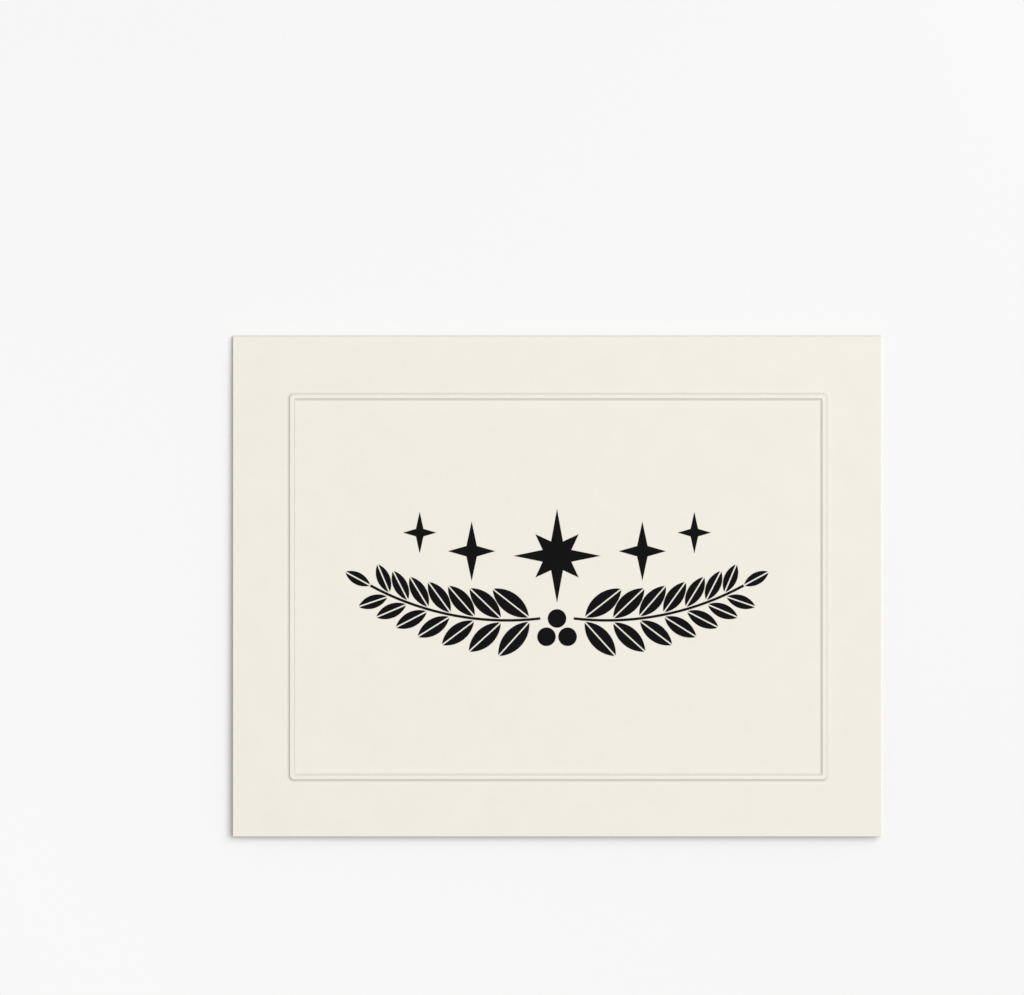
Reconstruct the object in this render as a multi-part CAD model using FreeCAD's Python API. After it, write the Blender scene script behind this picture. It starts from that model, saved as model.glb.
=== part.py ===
import FreeCAD, Part
import math
import os
from FreeCAD import Placement, Rotation, Vector

# A greeting card: one sheet of heavy uncoated card stock, scored and folded once along its
# top edge, lying closed with its front upwards. The front leaf springs a little open from
# the fold. A raised line is embossed round the front, and an ornament is printed inside it.
#
# Millimetres. X runs across the card, +Y points to the fold and +Z up. The origin is on the
# face that the card rests on, under the middle of the closed card.

# The folded sheet
card_width = 139.7
card_depth = 107.95
sheet_thickness = 0.45
fold_inner_radius = 0.2

# How the front leaf springs open: it leaves the fold at one slope, bends flatter over its
# shoulder, and is flat from there to its free edge. The shoulder ends short of the embossed
# line, whose ridge keeps the sheet straight, by this strip of flat sheet.
spring_angle = 4.0
leaf_angle = 0.45
flat_strip = 1.3

# The embossed line: its middle runs at these margins inside the edges, and the die struck it
# this far off the middle of the card. Its two slopes are hollow, and each rounds over onto the
# flat crown in an edge this wide. The crown's corners have these radii: nearly sharp on its
# inner side, where the slopes below them meet in a mitre, and rounder on its outer side.
border_margin_x = 12.47
border_margin_y = 12.93
border_shift_x = 0.24
border_shift_y = -0.2
line_width = 2.1
line_crown_width = 0.75
line_edge_width = 0.07
line_height = 0.38
line_inner_radius = 0.3
line_outer_radius = 0.8

# The printed ornament: its middle lies this far above the middle of the card
ink_thickness = 0.05
ornament_rise = 0.9

# Its sprigs: a thin curved stem that starts beside the berries and ends this far inside the
# embossed line, pairs of leaves that get shorter outwards, each leaf split by a bare midrib,
# and one more leaf at the end
stem_start_x = 3.6
stem_start_y = -7.9
stem_clearance = 16.1
stem_end_y = -0.8
stem_bow = 2.9
stem_width = 0.55
first_pair_at = 1.9
first_leaf_length = 9.9
end_leaf_length = 5.9
leaf_width_share = 0.44
leaf_pitch_share = 0.63
leaf_spread_angle = 43.0
midrib_gap = 0.3
leaf_root_gap = 0.15

# Its stars: (distance from the middle line, height, upright ray, level ray, slanting ray, waist)
main_star = (0.0, 5.6, 10.15, 9.4, 6.6, 3.35)
side_stars = (
    (18.4, 6.6, 6.4, 5.1, None, 1.6),
    (29.6, 10.6, 4.5, 3.6, None, 1.15),
)

# Its berries, three in a triangle under the main star
berry_radius = 2.0
berry_gap = 0.55
top_berry_y = -7.9

fold_outer_radius = fold_inner_radius + sheet_thickness
fold_middle_y = card_depth / 2 - fold_outer_radius
border_width = card_width - 2 * border_margin_x
border_height = card_depth - 2 * border_margin_y
slope_run = (line_width - line_crown_width) / 2
well_top = 2 * line_height
line_top_y = border_shift_y + (border_height + line_width) / 2
shoulder_length = fold_middle_y - line_top_y - flat_strip


def slope_vectors(angle):
    """Unit vectors in the YZ plane, of a leaf that rises from the fold: along it, and out of its front."""
    a = math.radians(angle)
    along = Vector(0, -math.cos(a), math.sin(a))
    outwards = Vector(0, math.sin(a), math.cos(a))
    return along, outwards


def leaf_stations():
    """Points on the front leaf's front face: where it leaves the fold, ends its bend, and is cut off."""
    middle = Vector(0, fold_middle_y, fold_outer_radius)
    bend_radius = shoulder_length / math.radians(spring_angle - leaf_angle)
    _, steep_out = slope_vectors(spring_angle)
    flat_along, flat_out = slope_vectors(leaf_angle)
    fold_end = middle + steep_out * fold_outer_radius
    bend_middle = fold_end - steep_out * bend_radius
    bend_end = bend_middle + flat_out * bend_radius
    free_edge_y = -card_depth / 2 + sheet_thickness * flat_out.y
    flat_length = (free_edge_y - bend_end.y) / flat_along.y
    free_edge = bend_end + flat_along * flat_length
    return fold_end, bend_middle, bend_radius, bend_end, free_edge


def front_face_point(x, y):
    """The point of the front leaf's flat front face that lies over (x, y)."""
    *_, bend_end, free_edge = leaf_stations()
    share = (y - free_edge.y) / (bend_end.y - free_edge.y)
    return Vector(x, y, free_edge.z + share * (bend_end.z - free_edge.z))


def moved(shape, place):
    """A copy of a shape, moved and turned by a placement."""
    copy = shape.copy()
    copy.Placement = place * shape.Placement
    return copy


def on_front_face(shape, x, y):
    """Carries a shape modelled on the XY plane to the front leaf, with its origin over (x, y)."""
    leaf_frame = Placement(front_face_point(x, y), Rotation(Vector(1, 0, 0), -leaf_angle))
    return moved(shape, leaf_frame)


def folded_sheet():
    """The plain folded sheet: its section in the YZ plane, drawn along the card's width."""
    fold_end, bend_middle, bend_radius, bend_end, free_edge = leaf_stations()
    _, steep_out = slope_vectors(spring_angle)
    _, flat_out = slope_vectors(leaf_angle)
    _, half_bent_out = slope_vectors((spring_angle + leaf_angle) / 2)
    fold_middle = Vector(0, fold_middle_y, fold_outer_radius)
    level = Vector(0, 0, 1)
    half_folded = Vector(0, 1, 0)

    def bend_point(direction, depth):
        return bend_middle + direction * (bend_radius - depth)

    def fold_point(direction, radius):
        return fold_middle + direction * radius

    back_edge = Vector(0, -card_depth / 2, 0)
    outside = [
        Part.LineSegment(back_edge, fold_point(-level, fold_outer_radius)),
        Part.Arc(
            fold_point(-level, fold_outer_radius),
            fold_point(half_folded, fold_outer_radius),
            fold_end,
        ),
        Part.Arc(fold_end, bend_point(half_bent_out, 0), bend_end),
        Part.LineSegment(bend_end, free_edge),
    ]
    inner_free_edge = free_edge - flat_out * sheet_thickness
    inner_bend_end = bend_point(flat_out, sheet_thickness)
    inner_fold_end = fold_point(steep_out, fold_inner_radius)
    inner_fold_start = fold_point(-level, fold_inner_radius)
    inner_back_edge = back_edge + level * sheet_thickness
    inside = [
        Part.LineSegment(free_edge, inner_free_edge),
        Part.LineSegment(inner_free_edge, inner_bend_end),
        Part.Arc(inner_bend_end, bend_point(half_bent_out, sheet_thickness), inner_fold_end),
        Part.Arc(inner_fold_end, fold_point(half_folded, fold_inner_radius), inner_fold_start),
        Part.LineSegment(inner_fold_start, inner_back_edge),
        Part.LineSegment(inner_back_edge, back_edge),
    ]
    section = Part.Face(Part.Wire([curve.toShape() for curve in outside + inside]))
    section.translate(Vector(-card_width / 2, 0, 0))
    return section.extrude(Vector(card_width, 0, 0))


def rounded_prism(width, height, radius, top):
    """A block on the XY plane with rounded upright corners, centred on Z."""
    block = Part.makeBox(width, height, top, Vector(-width / 2, -height / 2, 0))
    upright = [e for e in block.Edges if abs(e.tangentAt(e.FirstParameter).z) > 0.5]
    return block.makeFillet(radius, upright)


def slope_arcs(foot_x, side):
    """The slope of the line, as two arcs in the XZ plane that meet in one tangent.

    A wide hollow arc rises from the foot, and a narrow full one rounds over onto the crown. Side
    is 1 where the slope rises towards +X and -1 where it rises towards -X.
    """
    steepest = 2 * math.atan(line_height / slope_run)
    hollow_radius = (slope_run - line_edge_width) / math.sin(steepest)
    edge_radius = line_edge_width / math.sin(steepest)

    def point(across, up):
        return Vector(foot_x + side * across, 0, up)

    def on_hollow(turn):
        return point(hollow_radius * math.sin(turn), hollow_radius * (1 - math.cos(turn)))

    def on_edge(turn):
        across = slope_run - edge_radius * math.sin(turn)
        return point(across, line_height - edge_radius * (1 - math.cos(turn)))

    meeting = on_hollow(steepest)
    return [
        Part.Arc(point(0, 0), on_hollow(steepest / 2), meeting),
        Part.Arc(meeting, on_edge(steepest / 2), on_edge(0)),
    ]


def carried_round(section, width, height, radius):
    """A section carried round a rectangle centred on Z: four straight runs and four round corners.

    The section lies in the XZ plane, with the rectangle's outline at its X = 0.
    """
    pieces = []
    for turn, reach, half_side in (
        (0, width / 2, height / 2),
        (90, height / 2, width / 2),
        (180, width / 2, height / 2),
        (270, height / 2, width / 2),
    ):
        half_run = half_side - radius
        run = section.copy()
        run.translate(Vector(reach, -half_run, 0))
        run = run.extrude(Vector(0, 2 * half_run, 0))
        corner = section.copy()
        corner.translate(Vector(reach, half_run, 0))
        corner = corner.revolve(Vector(reach - radius, half_run, 0), Vector(0, 0, 1), 90)
        for piece in (run, corner):
            piece.rotate(Vector(0, 0, 0), Vector(0, 0, 1), turn)
            pieces.append(piece)
    return pieces


def section_face(curves):
    """A flat face inside a closed loop of curves, given in any order."""
    edges = Part.sortEdges([curve.toShape() for curve in curves])[0]
    return Part.Face(Part.Wire(edges))


def plateau():
    """A block on the XY plane, inside the line's outer edge, with the line's slope all round it."""
    crown_edge = Vector(-slope_run, 0, line_height)
    below_it = Vector(-slope_run, 0, 0)
    foot = Vector(0, 0, 0)
    straights = [Part.LineSegment(crown_edge, below_it), Part.LineSegment(below_it, foot)]
    slope = section_face(slope_arcs(0, -1) + straights)
    width, height = border_width + line_crown_width, border_height + line_crown_width
    crown = rounded_prism(width, height, line_outer_radius, line_height)
    around = (width + 2 * slope_run, height + 2 * slope_run, line_outer_radius + slope_run)
    return crown.fuse(carried_round(slope, *around))


def trough_section(half_width):
    """The section of a trough as deep as the line, half as wide as this at the line's crown.

    Its sides are slopes up to the crown, and go on straight up from there.
    """
    foot_x = half_width - slope_run
    corners = [
        Vector(half_width, 0, line_height),
        Vector(half_width, 0, well_top),
        Vector(-half_width, 0, well_top),
        Vector(-half_width, 0, line_height),
    ]
    straights = [Part.LineSegment(start, end) for start, end in zip(corners, corners[1:])]
    straights.append(Part.LineSegment(Vector(-foot_x, 0, 0), Vector(foot_x, 0, 0)))
    return section_face(slope_arcs(foot_x, 1) + slope_arcs(-foot_x, -1) + straights)


def trough(half_width, half_length):
    """A trough along Y, centred on Z."""
    section = trough_section(half_width)
    section.translate(Vector(0, -half_length, 0))
    return section.extrude(Vector(0, 2 * half_length, 0))


def round_corner():
    """A round corner of the well, with its middle on Z and its arc in the quarter of +X and +Y.

    It is a quarter turn of what a trough's section has within the inner radius of its side.
    """
    section = trough_section(line_width)
    section.translate(Vector(line_inner_radius - line_width, 0, 0))
    beyond_axis = Part.makeBox(line_width, line_width, well_top, Vector(0, -line_width / 2, 0))
    within_radius = section.common(beyond_axis).Faces[0]
    return within_radius.revolve(Vector(0, 0, 0), Vector(0, 0, 1), 90)


def well():
    """What is hollow inside the line's crown: two troughs that cross, so that their slopes meet in
    mitres, with each corner cut off square at the inner radius and put back round.
    """
    half_width = (border_width - line_crown_width) / 2
    half_height = (border_height - line_crown_width) / 2
    along_y = trough(half_width, half_height + line_width)
    along_x = trough(half_height, half_width + line_width)
    along_x.rotate(Vector(0, 0, 0), Vector(0, 0, 1), 90)
    hollow = along_y.common(along_x)
    square_corner = Part.makeBox(2 * line_inner_radius, 2 * line_inner_radius, well_top)
    for turn, side_x, side_y in ((0, 1, 1), (90, -1, 1), (180, -1, -1), (270, 1, -1)):
        middle_x = side_x * (half_width - line_inner_radius)
        middle_y = side_y * (half_height - line_inner_radius)
        place = Placement(Vector(middle_x, middle_y, 0), Rotation(Vector(0, 0, 1), turn))
        hollow = hollow.cut(moved(square_corner, place)).fuse(moved(round_corner(), place))
    return hollow


def raised_line():
    """What the line adds above the sheet, on the XY plane: a plateau with a well sunk into it."""
    return plateau().cut(well()).removeSplitter()


def card_sheet():
    """The folded sheet with the line embossed in its front leaf, as one solid.

    The back of the leaf shows the line as a groove, straight below it and as deep.
    """
    line = raised_line()
    groove = line.copy()
    groove.translate(Vector(0, 0, -sheet_thickness))
    ridge, groove = (on_front_face(part, border_shift_x, border_shift_y) for part in (line, groove))
    return folded_sheet().fuse(ridge).cut(groove).removeSplitter()


def outline_face(points):
    """A flat face inside a closed polygon."""
    return Part.Face(Part.makePolygon(points + points[:1]))


def star_face(middle_x, middle_y, upright, level, slanting, waist):
    """A star of four rays, or of eight with slanting ones between them, narrowing to its waist."""
    if slanting is None:
        rays = (level, upright, level, upright)
    else:
        rays = (level, slanting, upright, slanting) * 2
    step = 2 * math.pi / len(rays)
    points = []
    for number, ray in enumerate(rays):
        for radius, turn in ((ray, number * step), (waist, (number + 0.5) * step)):
            points.append(
                Vector(middle_x + radius * math.cos(turn), middle_y + radius * math.sin(turn), 0)
            )
    return outline_face(points)


def leaf_faces(root, direction, length, side):
    """The two halves of a leaf, each between a straight midrib and an arc. Side -1 mirrors it."""
    along = Vector(math.cos(direction), math.sin(direction), 0)
    across = Vector(-along.y, along.x, 0)
    faces = []
    for half in (1, -1):
        near = root + across * (half * midrib_gap / 2)
        tip = near + along * length
        belly = root + along * (length / 2) + across * (half * length * leaf_width_share / 2)
        near, belly, tip = (Vector(side * p.x, p.y, 0) for p in (near, belly, tip))
        edges = [Part.Arc(near, belly, tip).toShape(), Part.LineSegment(tip, near).toShape()]
        faces.append(Part.Face(Part.Wire(edges)))
    return faces


def stem_arc():
    """Middle, radius and first and last angle of the right stem's arc, which bows downwards."""
    start = Vector(stem_start_x, stem_start_y, 0)
    end = Vector((border_width - line_width) / 2 - stem_clearance, stem_end_y, 0)
    chord = end - start
    radius = (chord.Length ** 2 / 4 + stem_bow ** 2) / (2 * stem_bow)
    upwards = Vector(-chord.y, chord.x, 0) / chord.Length
    middle = (start + end) / 2 + upwards * (radius - stem_bow)
    angles = [math.atan2(p.y - middle.y, p.x - middle.x) for p in (start, end)]
    return middle, radius, angles[0], angles[1]


def sprig_faces(side):
    """One sprig: its stem, its pairs of leaves and its end leaf. Side -1 is its mirror image."""
    middle, radius, first, last = stem_arc()
    half = stem_width / 2

    def on_stem(angle, offset=0.0):
        out = radius + offset
        return Vector(middle.x + out * math.cos(angle), middle.y + out * math.sin(angle), 0)

    def mirrored(point):
        return Vector(side * point.x, point.y, 0)

    half_way = (first + last) / 2
    lower = [mirrored(on_stem(angle, half)) for angle in (first, half_way, last)]
    upper = [mirrored(on_stem(angle, -half)) for angle in (last, half_way, first)]
    edges = [
        Part.Arc(*lower).toShape(),
        Part.LineSegment(lower[-1], upper[0]).toShape(),
        Part.Arc(*upper).toShape(),
        Part.LineSegment(upper[-1], lower[0]).toShape(),
    ]
    faces = [Part.Face(Part.Wire(edges))]

    def add_leaf(angle, turn, gap, length):
        direction = angle + math.pi / 2 + turn
        away = Vector(math.cos(direction), math.sin(direction), 0)
        faces.extend(leaf_faces(on_stem(angle) + away * gap, direction, length, side))

    spread = math.radians(leaf_spread_angle)
    root_gap = (half + leaf_root_gap + midrib_gap / 2) / math.sin(spread)
    stem_length = radius * (last - first)
    position = first_pair_at
    while position < stem_length - end_leaf_length / 4:
        share = position / stem_length
        length = first_leaf_length + (end_leaf_length - first_leaf_length) * share
        for turn in (spread, -spread):
            add_leaf(first + position / radius, turn, root_gap, length)
        position += leaf_pitch_share * length
    add_leaf(last, 0.0, leaf_root_gap, end_leaf_length)
    return faces


def berry_faces():
    """Three round berries, one above two, an equal gap apart."""
    spacing = 2 * berry_radius + berry_gap
    drop = spacing * math.sqrt(3) / 2
    middles = (
        Vector(0, top_berry_y, 0),
        Vector(-spacing / 2, top_berry_y - drop, 0),
        Vector(spacing / 2, top_berry_y - drop, 0),
    )
    up = Vector(0, 0, 1)
    return [Part.Face(Part.Wire(Part.Circle(c, up, berry_radius).toShape())) for c in middles]


def printed_ornament():
    """The ink as a thin even film on the front leaf, one solid for each separate printed shape."""
    faces = [star_face(*main_star)]
    for distance, *rest in side_stars:
        faces += [star_face(side * distance, *rest) for side in (1, -1)]
    faces += sprig_faces(1) + sprig_faces(-1) + berry_faces()
    films = []
    for face in faces:
        film = face.extrude(Vector(0, 0, ink_thickness))
        films.append(on_front_face(film, 0.0, ornament_rise))
    return Part.makeCompound(films)


def main():
    os.makedirs("parts", exist_ok=True)
    for name, shape in (("card_sheet", card_sheet()), ("printed_ornament", printed_ornament())):
        shape.exportStep(f"parts/{name}.step")
        box = shape.optimalBoundingBox()
        print(
            name,
            f"{len(shape.Solids)} solids, valid {shape.isValid()}, volume {shape.Volume:.2f},",
            f"box {box.XLength:.3f} x {box.YLength:.3f} x {box.ZLength:.3f}",
        )


main()
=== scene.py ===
import math

import bpy
import numpy as np
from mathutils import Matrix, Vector


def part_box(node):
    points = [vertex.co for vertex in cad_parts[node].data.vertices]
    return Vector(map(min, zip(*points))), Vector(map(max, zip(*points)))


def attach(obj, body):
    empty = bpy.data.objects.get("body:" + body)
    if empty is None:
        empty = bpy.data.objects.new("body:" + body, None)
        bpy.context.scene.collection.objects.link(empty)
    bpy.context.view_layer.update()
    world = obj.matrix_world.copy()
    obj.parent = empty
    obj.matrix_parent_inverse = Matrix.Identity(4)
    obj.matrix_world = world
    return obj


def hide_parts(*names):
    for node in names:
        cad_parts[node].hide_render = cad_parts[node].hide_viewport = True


# The looks of a greeting card: a folded sheet of cotton card stock with an embossed line and
# a printed ornament, seen from straight above on a pale floor. Metres; MM turns millimetres
# into them. X runs across the card, +Y points to its fold and +Z up.

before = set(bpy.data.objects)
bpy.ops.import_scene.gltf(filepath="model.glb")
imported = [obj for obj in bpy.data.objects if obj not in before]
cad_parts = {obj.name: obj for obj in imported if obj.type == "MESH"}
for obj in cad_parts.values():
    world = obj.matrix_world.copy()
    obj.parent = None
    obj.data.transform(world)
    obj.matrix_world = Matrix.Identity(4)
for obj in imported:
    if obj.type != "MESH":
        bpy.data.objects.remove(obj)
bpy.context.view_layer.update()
sheet_low, sheet_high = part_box("card_sheet")

MM = 0.001

# The folded sheet. The front leaf leaves the fold at the spring angle, bends flatter over a
# shoulder, and is straight at the leaf angle from a flat strip above the line to its free edge.
CARD_WIDTH = sheet_high.x - sheet_low.x
CARD_DEPTH = sheet_high.y - sheet_low.y
SHEET_THICKNESS = 0.45 * MM
FOLD_OUTER_RADIUS = 0.65 * MM
SPRING_ANGLE = math.radians(4.0)
LEAF_ANGLE = math.radians(0.45)
FLAT_STRIP = 1.3 * MM

# The embossed line: how far its middle lies inside the sheet's edges, how far the die struck it
# off the middle of the sheet, its section, and the radii of its crown's corners
BORDER_MARGIN_X = 12.47 * MM
BORDER_MARGIN_Y = 12.93 * MM
BORDER_SHIFT_X = 0.24 * MM
BORDER_SHIFT_Y = -0.2 * MM
LINE_WIDTH = 2.1 * MM
LINE_CROWN_WIDTH = 0.75 * MM
LINE_SLOPE_RUN = (LINE_WIDTH - LINE_CROWN_WIDTH) / 2
LINE_EDGE_WIDTH = 0.07 * MM
LINE_HEIGHT = 0.38 * MM
LINE_INNER_RADIUS = 0.3 * MM
LINE_OUTER_RADIUS = 0.8 * MM

# How much the guillotine blade has rounded the cut edges, and how far along the sheet, from the
# middle of the fold, its outside is roughened
EDGE_ROUNDING = 0.045 * MM
FOLD_WEAR_REACH = 1.2 * MM

# How finely the sheet is divided: over plain paper, over the line, round the fold, over the
# shoulder, and in how many steps round a cut edge
PLAIN_STEP = 2.6 * MM
LINE_STEP = 0.045 * MM
FOLD_STEP = 0.09 * MM
SHOULDER_STEP = 0.6 * MM
EDGE_STEPS = 4

# Dense places go on this far past the line and past the rounding of an edge. Plain places keep
# away from a dense band by a share of their step. All are rounded to a nanometre, so that equal
# ones merge.
SUPPORT_GAP = 0.07 * MM
BAND_CLEARANCE = 0.3 * PLAIN_STEP
PLACE_DECIMALS = 9

# The patterns in the paper and the ink. Real fibres are about 0.02 mm wide and 2 mm long: these
# are 0.1 mm wide, so that they show. A scale under 1 stretches a pattern along an axis.
CLOUD_SIZE = 6.0 * MM
GRAIN_SIZE = 0.25 * MM
FIBRE_WIDTH = 0.1 * MM
FIBRE_SCALE = 0.08
FIBRE_TURN = math.radians(24.0)
CROSSED_FIBRE_TURN = math.radians(-17.0)
LAYER_THICKNESS = 0.06 * MM
LAYER_SCALE = 0.1
INK_TOOTH_SIZE = 0.2 * MM

# The paper's tooth: how far it stands up in all, how strongly the fibres show in it, and how
# much of it the die presses flat and the fold adds
TOOTH_DEPTH = 0.016 * MM
FIBRE_STRENGTH = 0.6
PRESSED_FLATNESS = 0.6
FOLD_ROUGHENING = 0.5

# The paper's roughness, and how much smoother the die has made the line
PAPER_ROUGHNESS = 0.92
PRESSED_SMOOTHING = 0.12

# The photograph: its size, and where the card lies in it, in pixels
PHOTO_WIDTH = 1024
PHOTO_HEIGHT = 995
CARD_WIDTH_PX = 648.3
CARD_MIDDLE_PX = (557.05, 586.0)

# The camera: far enough above for the card's outline to show no perspective
CAMERA_HEIGHT = 2.4
SENSOR_WIDTH = 36.0

# The light: an even white sky, a soft sun high on the upper right, and a near lamp on the same
# side that makes the card's right and top a little brighter. Together they give 1 on a level
# surface in the middle of the card.
SKY_STRENGTH = 0.353
SUN_SHARE = 0.59
SUN_TILT = math.radians(21.2)
SUN_BEARING = math.radians(28.0)
SUN_SIZE = math.radians(40.0)
LAMP_POWER = 0.182
LAMP_PLACE = (0.26, 0.2, 0.34)
LAMP_SIZE = 0.12

# The floor: its size, how far it lies under the card, the width of the strip over which it
# turns from its far colour to the one near the lamp, and the share of that turn under the
# middle of the card
FLOOR_SIZE = 8.0
FLOOR_DROP = 0.02 * MM
FLOOR_FADE_WIDTH = 0.26
FLOOR_FADE_MIDDLE = 0.5

# Colours
PAPER_SHADE = "#EFEBE0"
PAPER_LIGHT = "#F1EDE2"
# The next is painted shade, laid on the embossed line's steep sides
PAPER_SLOPE_SHADE = "#DBD7CC"
EDGE_SHADE = "#EBE6DA"
EDGE_LIGHT = "#F8F5ED"
INK_DEEP = "#080808"
INK_THIN = "#111111"
SKY_COLOUR = "#FFFFFF"
BACKDROP_COLOUR = "#F7F7F7"
FLOOR_FAR_COLOUR = "#FBFBFB"
FLOOR_NEAR_COLOUR = "#F4F4F4"
FLOOR_BOUNCE_COLOUR = "#B4B4B4"

# A colour Mix node's sockets, by number, because other sockets of it have the same names
MIX_FACTOR = 0
MIX_FIRST = 6
MIX_SECOND = 7
MIX_RESULT = 2


def linear(hex_colour):
    """An sRGB colour written as #RRGGBB, as linear red, green, blue and an alpha of 1."""
    parts = [int(hex_colour[i:i + 2], 16) / 255 for i in (1, 3, 5)]
    return [c / 12.92 if c <= 0.04045 else ((c + 0.055) / 1.055) ** 2.4 for c in parts] + [1.0]


def edge_stations(start, stop):
    """Places that shape a rounded cut edge at each end: sines of equal angles over the rounding."""
    angles = np.linspace(0, math.pi / 2, EDGE_STEPS + 1)
    inset = np.append(EDGE_ROUNDING * (1 - np.sin(angles)), EDGE_ROUNDING + SUPPORT_GAP)
    return np.concatenate([start + inset, stop - inset])


def stations(start, stop, dense_bands):
    """Places from one cut edge to the other: plain ones, the edges' own and the dense bands'.

    A dense band is (its start, its stop, its step). Plain places inside a band are left out.
    """
    plain = np.linspace(start, stop, round((stop - start) / PLAIN_STEP) + 1)
    parts = [edge_stations(start, stop)]
    for low, high, step in dense_bands:
        plain = plain[(plain < low - BAND_CLEARANCE) | (plain > high + BAND_CLEARANCE)]
        parts.append(np.linspace(low, high, round((high - low) / step) + 1))
    return np.unique(np.concatenate([plain] + parts).round(PLACE_DECIMALS))


def edge_drop(inset):
    """How far a face falls towards the middle of the sheet at this distance inside a cut edge.

    A quarter circle: radius minus the root of radius squared minus (radius minus inset) squared.
    """
    past = np.clip(EDGE_ROUNDING - inset, 0, EDGE_ROUNDING)
    return EDGE_ROUNDING - np.sqrt(EDGE_ROUNDING ** 2 - past ** 2)


class SheetSection:
    """The sheet's outer face in the YZ plane, by its length along the face from the back leaf's edge.

    Four stretches follow each other: the level back leaf, the arc of the fold, the shallow arc
    of the shoulder and the straight front leaf, which ends over the back leaf's edge.
    """

    def __init__(self):
        self.fold_y = CARD_DEPTH / 2 - FOLD_OUTER_RADIUS
        line_top_y = BORDER_SHIFT_Y + CARD_DEPTH / 2 - BORDER_MARGIN_Y + LINE_WIDTH / 2
        shoulder = self.fold_y - line_top_y - FLAT_STRIP
        self.bend_radius = shoulder / (SPRING_ANGLE - LEAF_ANGLE)
        self.fold_from = self.fold_y + CARD_DEPTH / 2
        self.bend_from = self.fold_from + FOLD_OUTER_RADIUS * (math.pi - SPRING_ANGLE)
        self.flat_from = self.bend_from + shoulder
        drop = self.bend_radius - FOLD_OUTER_RADIUS
        self.bend_y = self.fold_y - drop * math.sin(SPRING_ANGLE)
        self.bend_z = FOLD_OUTER_RADIUS - drop * math.cos(SPRING_ANGLE)
        self.flat_y = self.bend_y + self.bend_radius * math.sin(LEAF_ANGLE)
        self.flat_z = self.bend_z + self.bend_radius * math.cos(LEAF_ANGLE)
        free_edge_y = -CARD_DEPTH / 2 + SHEET_THICKNESS * math.sin(LEAF_ANGLE)
        self.length = self.flat_from + (self.flat_y - free_edge_y) / math.cos(LEAF_ANGLE)

    def along_for(self, y):
        """The length along the face of the point of the straight front leaf at this y."""
        return self.flat_from + (self.flat_y - y) / math.cos(LEAF_ANGLE)

    def place(self, along):
        """y and z of the outer face, and y and z of its unit normal.

        The normal leans from +Z towards +Y: by 180 degrees on the back leaf, less and less round
        the two arcs, and by the leaf angle on the front leaf. A point of an arc is its centre
        plus its radius times the normal.
        """
        stretches = [along < self.fold_from, along < self.bend_from, along < self.flat_from]
        in_fold = math.pi - (along - self.fold_from) / FOLD_OUTER_RADIUS
        in_bend = SPRING_ANGLE - (along - self.bend_from) / self.bend_radius
        lean = np.select(stretches, [math.pi, in_fold, in_bend], LEAF_ANGLE)
        normal_y, normal_z = np.sin(lean), np.cos(lean)
        past = along - self.flat_from
        y = np.select(
            stretches,
            [
                along - CARD_DEPTH / 2,
                self.fold_y + FOLD_OUTER_RADIUS * normal_y,
                self.bend_y + self.bend_radius * normal_y,
            ],
            self.flat_y - past * math.cos(LEAF_ANGLE),
        )
        z = np.select(
            stretches,
            [
                np.zeros_like(along),
                FOLD_OUTER_RADIUS + FOLD_OUTER_RADIUS * normal_z,
                self.bend_z + self.bend_radius * normal_z,
            ],
            self.flat_z + past * math.sin(LEAF_ANGLE),
        )
        return y, z, normal_y, normal_z


def outside_rounded_rectangle(x, y, width, height, radius):
    """Distance outside a rectangle with round corners, centred on the origin; negative inside it.

    Further inside than the radius, the places at one distance make a rectangle with sharp corners.
    """
    beyond_x = np.abs(x) - (width / 2 - radius)
    beyond_y = np.abs(y) - (height / 2 - radius)
    corner = np.hypot(np.maximum(beyond_x, 0), np.maximum(beyond_y, 0))
    return corner + np.minimum(np.maximum(beyond_x, beyond_y), 0) - radius


def line_slope(distance):
    """The slope of the line: its height at this distance from its foot.

    Two arcs of circles that meet in one tangent: a wide hollow one rises from the foot, and a
    narrow full one rounds over onto the crown.
    """
    hollow_run = LINE_SLOPE_RUN - LINE_EDGE_WIDTH
    steepest = 2 * math.atan(LINE_HEIGHT / LINE_SLOPE_RUN)
    hollow_radius = hollow_run / math.sin(steepest)
    edge_radius = LINE_EDGE_WIDTH / math.sin(steepest)
    along = np.clip(distance, 0, LINE_SLOPE_RUN)
    from_foot = np.minimum(along, hollow_run)
    to_crown = np.minimum(LINE_SLOPE_RUN - along, LINE_EDGE_WIDTH)
    low = hollow_radius - np.sqrt(hollow_radius ** 2 - from_foot ** 2)
    high = edge_radius - np.sqrt(edge_radius ** 2 - to_crown ** 2)
    return np.where(along < hollow_run, low, LINE_HEIGHT - high)


def line_height(x, y):
    """Height of the embossed line over (x, y), from its middle: the lower of its two slopes.

    One slope rises outwards to the crown's inner edge and one rises inwards to its outer edge.
    """
    width = CARD_WIDTH - 2 * BORDER_MARGIN_X
    height = CARD_DEPTH - 2 * BORDER_MARGIN_Y
    past_inner_edge = outside_rounded_rectangle(
        x, y, width - LINE_CROWN_WIDTH, height - LINE_CROWN_WIDTH, LINE_INNER_RADIUS
    )
    past_outer_edge = outside_rounded_rectangle(
        x, y, width + LINE_CROWN_WIDTH, height + LINE_CROWN_WIDTH, LINE_OUTER_RADIUS
    )
    inner_slope = line_slope(LINE_SLOPE_RUN + past_inner_edge)
    outer_slope = line_slope(LINE_SLOPE_RUN - past_outer_edge)
    return np.minimum(inner_slope, outer_slope)


def line_bands(middle, half_span):
    """The two dense bands that hold the line's sides at half a span either side of a middle."""
    reach = LINE_WIDTH / 2 + SUPPORT_GAP
    return [
        (middle + side - reach, middle + side + reach, LINE_STEP) for side in (-half_span, half_span)
    ]


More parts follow.
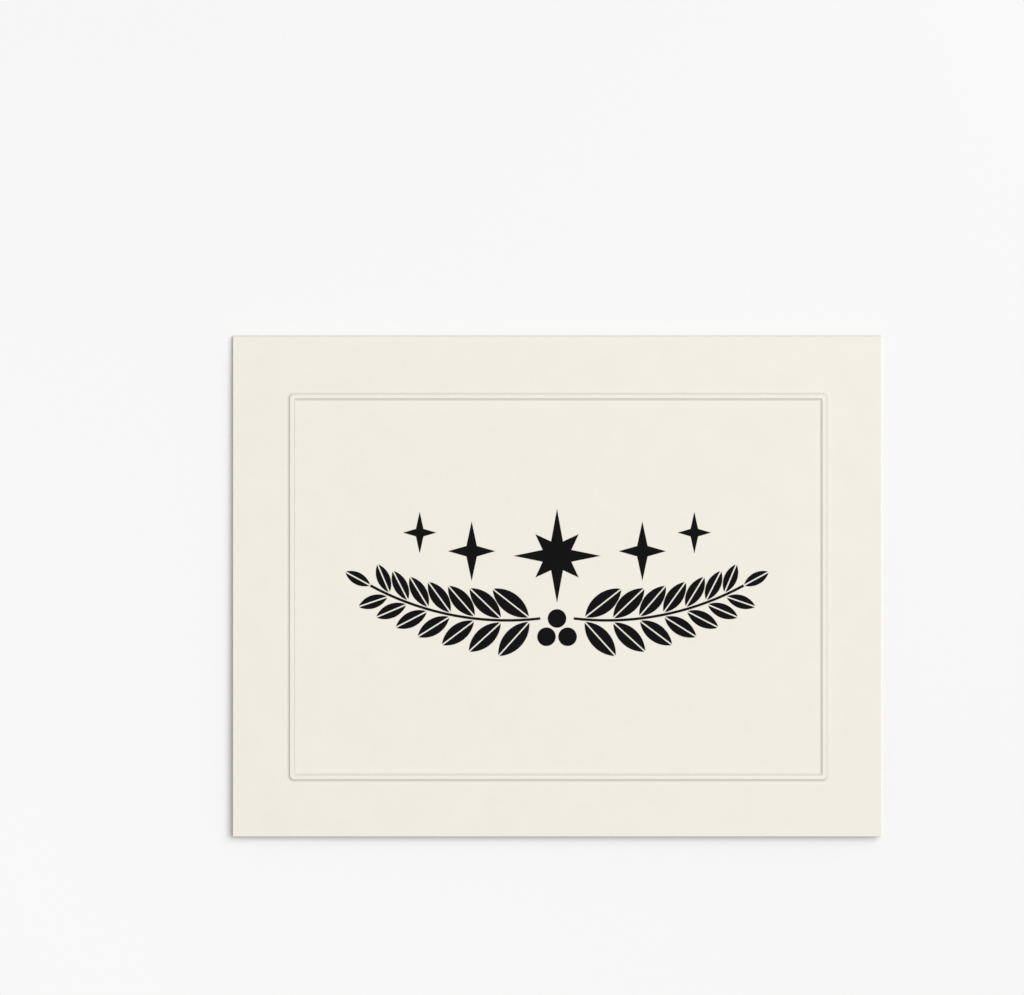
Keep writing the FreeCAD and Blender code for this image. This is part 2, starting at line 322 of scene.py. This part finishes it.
def closed_sheet(outer, inner):
    """Points and faces of a closed sheet made of two grids of points, an outer and an inner face.

    Each grid is indexed by place across and place along. The inner grid's faces are turned
    over, and a band of four-sided faces joins the two grids' outlines.
    """
    across, along, _ = outer.shape
    index = np.arange(across * along).reshape(across, along)
    quads = np.stack([index[:-1, :-1], index[:-1, 1:], index[1:, 1:], index[1:, :-1]], -1)
    quads = quads.reshape(-1, 4)
    outline = np.concatenate([index[0, :-1], index[:-1, -1], index[-1, :0:-1], index[:0:-1, 0]])
    following = np.roll(outline, -1)
    shift = across * along
    rim = np.stack([following, outline, outline + shift, following + shift], -1)
    points = np.concatenate([outer.reshape(-1, 3), inner.reshape(-1, 3)])
    return points, np.concatenate([quads, quads[:, ::-1] + shift, rim])


def make_mesh_object(name, points, faces, material):
    """A smooth-shaded mesh object at the origin, with its place in its mesh."""
    mesh = bpy.data.meshes.new(name)
    mesh.from_pydata(points.tolist(), [], faces.tolist())
    mesh.polygons.foreach_set("use_smooth", np.ones(len(faces), bool))
    mesh.materials.append(material)
    mesh.update()
    piece = bpy.data.objects.new(name, mesh)
    bpy.context.scene.collection.objects.link(piece)
    return piece


def folded_card(material):
    """The sheet: the section's outer face carried across the card, and the same face moved in
    by the sheet's thickness, both lifted along their normal by the embossed line's height.

    At the cut edges both faces fall towards each other by the quarter circle of edge_drop.
    """
    section = SheetSection()
    border_along = section.along_for(BORDER_SHIFT_Y)
    half_width = CARD_WIDTH / 2
    x = stations(-half_width, half_width, line_bands(BORDER_SHIFT_X, half_width - BORDER_MARGIN_X))
    s = stations(
        0,
        section.length,
        [
            (section.fold_from, section.bend_from, FOLD_STEP),
            (section.bend_from, section.flat_from, SHOULDER_STEP),
            *line_bands(border_along, CARD_DEPTH / 2 - BORDER_MARGIN_Y),
        ],
    )

    y, z, normal_y, normal_z = (np.tile(values, (len(x), 1)) for values in section.place(s))
    across, along = np.meshgrid(x, s, indexing="ij")
    lift = line_height(across - BORDER_SHIFT_X, border_along - along)
    inset_x = half_width - np.abs(across)
    inset_s = np.minimum(along, section.length - along)
    drop = edge_drop(inset_x) + edge_drop(inset_s)

    def face(depth):
        """The points at this depth below the outer face."""
        out = lift - depth
        return np.stack([across, y + out * normal_y, z + out * normal_z], -1)

    points, faces = closed_sheet(face(drop), face(SHEET_THICKNESS - drop))
    piece = make_mesh_object("folded_card", points, faces, material)

    # Numbers for each place, the same on both faces, which the material reads by name
    steepness = np.hypot(np.gradient(lift, x, axis=0), np.gradient(lift, s, axis=1))
    from_fold = np.abs(along - (section.fold_from + section.bend_from) / 2)
    numbers = {
        "cut_edge": (inset_x <= EDGE_ROUNDING) | (inset_s <= EDGE_ROUNDING),
        "pressed": lift / LINE_HEIGHT,
        # How steep the line is, which masks the painted shade on its sides
        "slope_shade": np.sqrt(steepness / steepness.max()),
        "bent": np.clip(1 - from_fold / FOLD_WEAR_REACH, 0, 1),
    }
    for name, values in numbers.items():
        attribute = piece.data.attributes.new(name, "FLOAT", "POINT")
        attribute.data.foreach_set("value", np.tile(values.ravel(), 2).astype(np.float32))
    return piece


def add_node(tree, kind, inputs=None, stops=(), **settings):
    """A node with its settings and links.

    Inputs maps a socket's name or number to a value or to another node's output. Stops are the
    two of a colour ramp, each a position and a hex colour.
    """
    node = tree.nodes.new(kind)
    for name, value in settings.items():
        setattr(node, name, value)
    for socket, value in (inputs or {}).items():
        if isinstance(value, bpy.types.NodeSocket):
            tree.links.new(value, node.inputs[socket])
        else:
            node.inputs[socket].default_value = value
    for number, (position, colour) in enumerate(stops):
        node.color_ramp.elements[number].position = position
        node.color_ramp.elements[number].color = linear(colour)
    return node


def new_material(name):
    """An empty node material, its tree, and its object's own coordinates."""
    material = bpy.data.materials.new(name)
    material.use_nodes = True
    tree = material.node_tree
    tree.nodes.clear()
    return material, tree, add_node(tree, "ShaderNodeTexCoord").outputs["Object"]


def card_stock():
    """Cotton card stock: uncoated warm white paper, made on a wove felt and lightly rolled.

    It gives the eye a dead matt, even surface with a very fine tooth. Close to, the tooth is
    grains about 0.25 mm across with longer fibres lying over them, and its white is a little
    cloudy at about 6 mm. The die has pressed the embossed line smoother than the rest. Its steep
    sides carry painted shade: their colour darkens with their steepness, standing in for their
    shading, and a little of it comes from the sheet being drawn thin there. The cut edges are a
    touch lighter, with the fibres lying in layers along them, and the fold is slightly roughened
    where its fibres have stretched.
    """
    material, tree, place = new_material("cotton_card_stock")
    cut_edge, pressed, slope_shade, bent = (
        add_node(tree, "ShaderNodeAttribute", attribute_name=name).outputs["Fac"]
        for name in ("cut_edge", "pressed", "slope_shade", "bent")
    )

    # Noise patterns, each with the size of its grains, its detail, its scale along X, Y and Z,
    # and its turn about Z
    patterns = (
        (CLOUD_SIZE, 4.0, (1.0, 1.0, 1.0), 0.0),
        (GRAIN_SIZE, 3.0, (1.0, 1.0, 1.0), 0.0),
        (FIBRE_WIDTH, 2.0, (1.0, FIBRE_SCALE, 1.0), FIBRE_TURN),
        (FIBRE_WIDTH, 2.0, (FIBRE_SCALE, 1.0, 1.0), CROSSED_FIBRE_TURN),
        (LAYER_THICKNESS, 2.0, (LAYER_SCALE, LAYER_SCALE, 1.0), 0.0),
    )
    noises = []
    for size, detail, scale, turn in patterns:
        stretch = {"Vector": place, "Rotation": (0.0, 0.0, turn), "Scale": scale}
        vector = add_node(tree, "ShaderNodeMapping", stretch).outputs["Vector"]
        grains = {"Vector": vector, "Scale": 1 / size, "Detail": detail}
        noises.append(add_node(tree, "ShaderNodeTexNoise", grains).outputs["Fac"])
    cloud, grain, fibres, crossed, layers = noises

    face = add_node(
        tree, "ShaderNodeValToRGB", {"Fac": cloud}, ((0.3, PAPER_SHADE), (0.7, PAPER_LIGHT))
    ).outputs["Color"]
    cut = add_node(
        tree, "ShaderNodeValToRGB", {"Fac": layers}, ((0.35, EDGE_SHADE), (0.65, EDGE_LIGHT))
    ).outputs["Color"]
    # Painted shade: the line's steep sides turn darker with their steepness
    slope_shaded = {MIX_FACTOR: slope_shade, MIX_FIRST: face, MIX_SECOND: linear(PAPER_SLOPE_SHADE)}
    face = add_node(tree, "ShaderNodeMix", slope_shaded, data_type="RGBA").outputs[MIX_RESULT]
    trimmed = {MIX_FACTOR: cut_edge, MIX_FIRST: face, MIX_SECOND: cut}
    colour = add_node(tree, "ShaderNodeMix", trimmed, data_type="RGBA").outputs[MIX_RESULT]

    # The tooth is the grain with the fibres that lie both ways over it
    both_ways = add_node(tree, "ShaderNodeMath", {0: fibres, 1: crossed}, operation="ADD")
    tooth = add_node(
        tree,
        "ShaderNodeMath",
        {0: both_ways.outputs["Value"], 1: FIBRE_STRENGTH, 2: grain},
        operation="MULTIPLY_ADD",
    )
    # It stands lower where the die has pressed it and higher at the fold
    pressed_flat = add_node(
        tree, "ShaderNodeMath", {0: pressed, 1: -PRESSED_FLATNESS, 2: 1.0}, operation="MULTIPLY_ADD"
    )
    amount = add_node(
        tree,
        "ShaderNodeMath",
        {0: bent, 1: FOLD_ROUGHENING, 2: pressed_flat.outputs["Value"]},
        operation="MULTIPLY_ADD",
    )
    # The layers stand out on the cut edges alone
    cut_layers = add_node(tree, "ShaderNodeMath", {0: layers, 1: cut_edge}, operation="MULTIPLY")
    relief = add_node(
        tree,
        "ShaderNodeMath",
        {0: tooth.outputs["Value"], 1: amount.outputs["Value"], 2: cut_layers.outputs["Value"]},
        operation="MULTIPLY_ADD",
    )
    bump = add_node(
        tree,
        "ShaderNodeBump",
        {"Height": relief.outputs["Value"], "Strength": 1.0, "Distance": TOOTH_DEPTH},
    )
    roughness = add_node(
        tree,
        "ShaderNodeMath",
        {0: pressed, 1: -PRESSED_SMOOTHING, 2: PAPER_ROUGHNESS},
        operation="MULTIPLY_ADD",
    )
    shader = add_node(
        tree,
        "ShaderNodeBsdfPrincipled",
        {
            "Base Color": colour,
            "Roughness": roughness.outputs["Value"],
            "IOR": 1.5,
            "Specular IOR Level": 0.25,
            "Normal": bump.outputs["Normal"],
        },
    )
    add_node(tree, "ShaderNodeOutputMaterial", {"Surface": shader.outputs["BSDF"]})
    return material


def black_ink():
    """Offset printing ink: black, soaked into uncoated stock and dried matt.

    It gives the eye a deep even black with no gloss, over the paper's own tooth, and thins
    slightly where the tooth stands highest.
    """
    material, tree, place = new_material("offset_printing_ink")
    tooth = add_node(
        tree, "ShaderNodeTexNoise", {"Vector": place, "Scale": 1 / INK_TOOTH_SIZE, "Detail": 3.0}
    ).outputs["Fac"]
    colour = add_node(
        tree, "ShaderNodeValToRGB", {"Fac": tooth}, ((0.4, INK_DEEP), (0.75, INK_THIN))
    )
    bump = add_node(
        tree, "ShaderNodeBump", {"Height": tooth, "Strength": 1.0, "Distance": TOOTH_DEPTH}
    )
    shader = add_node(
        tree,
        "ShaderNodeBsdfPrincipled",
        {
            "Base Color": colour.outputs["Color"],
            "Roughness": 0.75,
            "IOR": 1.5,
            "Specular IOR Level": 0.06,
            "Normal": bump.outputs["Normal"],
        },
    )
    add_node(tree, "ShaderNodeOutputMaterial", {"Surface": shader.outputs["BSDF"]})
    return material


def seen_share(tree):
    """1 for rays that show a thing to the eye, straight, mirrored or through glass, else 0."""
    ray = add_node(tree, "ShaderNodeLightPath").outputs
    turned = add_node(
        tree,
        "ShaderNodeMath",
        {0: ray["Is Glossy Ray"], 1: ray["Is Transmission Ray"]},
        operation="MAXIMUM",
    )
    seen = add_node(
        tree,
        "ShaderNodeMath",
        {0: ray["Is Camera Ray"], 1: turned.outputs["Value"]},
        operation="MAXIMUM",
    )
    return seen.outputs["Value"]


def studio_floor():
    """A flat square of matt white background paper, which gives the eye a plain pale ground.

    It is a shade deeper towards the near lamp, so that it looks even under it. To the rays that
    only gather light it is greyer, so that it throws less of it on the card's edges.
    """
    material, tree, place = new_material("background_paper")
    towards_lamp = Vector((LAMP_PLACE[0], LAMP_PLACE[1], 0)).normalized() / FLOOR_FADE_WIDTH
    along = add_node(
        tree, "ShaderNodeVectorMath", {0: place, 1: towards_lamp}, operation="DOT_PRODUCT"
    ).outputs["Value"]
    share = add_node(tree, "ShaderNodeMath", {0: along, 1: FLOOR_FADE_MIDDLE}, operation="ADD")
    seen = add_node(
        tree,
        "ShaderNodeValToRGB",
        {"Fac": share.outputs["Value"]},
        ((0.0, FLOOR_FAR_COLOUR), (1.0, FLOOR_NEAR_COLOUR)),
    ).outputs["Color"]
    colours = {MIX_FACTOR: seen_share(tree), MIX_FIRST: linear(FLOOR_BOUNCE_COLOUR), MIX_SECOND: seen}
    colour = add_node(tree, "ShaderNodeMix", colours, data_type="RGBA").outputs[MIX_RESULT]
    shader = add_node(
        tree,
        "ShaderNodeBsdfPrincipled",
        {"Base Color": colour, "Roughness": 1.0, "Specular IOR Level": 0.0},
    )
    add_node(tree, "ShaderNodeOutputMaterial", {"Surface": shader.outputs["BSDF"]})
    half = FLOOR_SIZE / 2
    corners = [(-half, -half), (half, -half), (half, half), (-half, half)]
    points = np.array([(x, y, -FLOOR_DROP) for x, y in corners])
    floor = make_mesh_object("studio_floor", points, np.array([[0, 1, 2, 3]]), material)


def aim(thing, target):
    """Turns a lamp, which looks along its own -Z, towards a point."""
    thing.rotation_euler = (Vector(target) - thing.location).to_track_quat("-Z", "Y").to_euler()


def add_camera():
    """A long lens straight above, placed so that the card lies where the photograph has it."""
    metres_per_px = CARD_WIDTH / CARD_WIDTH_PX
    x = (PHOTO_WIDTH / 2 - CARD_MIDDLE_PX[0]) * metres_per_px
    y = (CARD_MIDDLE_PX[1] - PHOTO_HEIGHT / 2) * metres_per_px
    data = bpy.data.cameras.new("camera")
    data.sensor_width = SENSOR_WIDTH
    data.lens = SENSOR_WIDTH * (CAMERA_HEIGHT - sheet_high.z) / (PHOTO_WIDTH * metres_per_px)
    camera = bpy.data.objects.new("camera", data)
    camera.location = (x, y, CAMERA_HEIGHT)
    bpy.context.scene.collection.objects.link(camera)
    bpy.context.scene.camera = camera


def add_sky():
    """The white sky, which the eye sees as a pale backdrop."""
    world = bpy.data.worlds.new("sky")
    world.use_nodes = True
    tree = world.node_tree
    tree.nodes.clear()
    light = add_node(
        tree, "ShaderNodeBackground", {"Color": linear(SKY_COLOUR), "Strength": SKY_STRENGTH}
    )
    backdrop = add_node(
        tree, "ShaderNodeBackground", {"Color": linear(BACKDROP_COLOUR), "Strength": 1.0}
    )
    either = add_node(
        tree,
        "ShaderNodeMixShader",
        {0: seen_share(tree), 1: light.outputs["Background"], 2: backdrop.outputs["Background"]},
    )
    add_node(tree, "ShaderNodeOutputWorld", {"Surface": either.outputs["Shader"]})
    bpy.context.scene.world = world


def add_lamps():
    """The soft sun and the faint near lamp."""
    sun_data = bpy.data.lights.new("sun", "SUN")
    sun_data.energy = SUN_SHARE * math.pi / math.cos(SUN_TILT)
    sun_data.angle = SUN_SIZE
    sun = bpy.data.objects.new("sun", sun_data)
    level = math.sin(SUN_TILT)
    sun.location = (
        level * math.cos(SUN_BEARING),
        level * math.sin(SUN_BEARING),
        math.cos(SUN_TILT),
    )

    lamp_data = bpy.data.lights.new("near_lamp", "AREA")
    lamp_data.energy = LAMP_POWER
    lamp_data.size = LAMP_SIZE
    lamp = bpy.data.objects.new("near_lamp", lamp_data)
    lamp.location = LAMP_PLACE
    for thing in (sun, lamp):
        aim(thing, (0, 0, 0))
        bpy.context.scene.collection.objects.link(thing)


bpy.context.scene.view_settings.view_transform = "Standard"
add_camera()
add_sky()
add_lamps()
studio_floor()

card = folded_card(card_stock())
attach(card, "root")
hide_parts("card_sheet")

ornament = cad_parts["printed_ornament"]
ornament.data.materials.clear()
ornament.data.materials.append(black_ink())
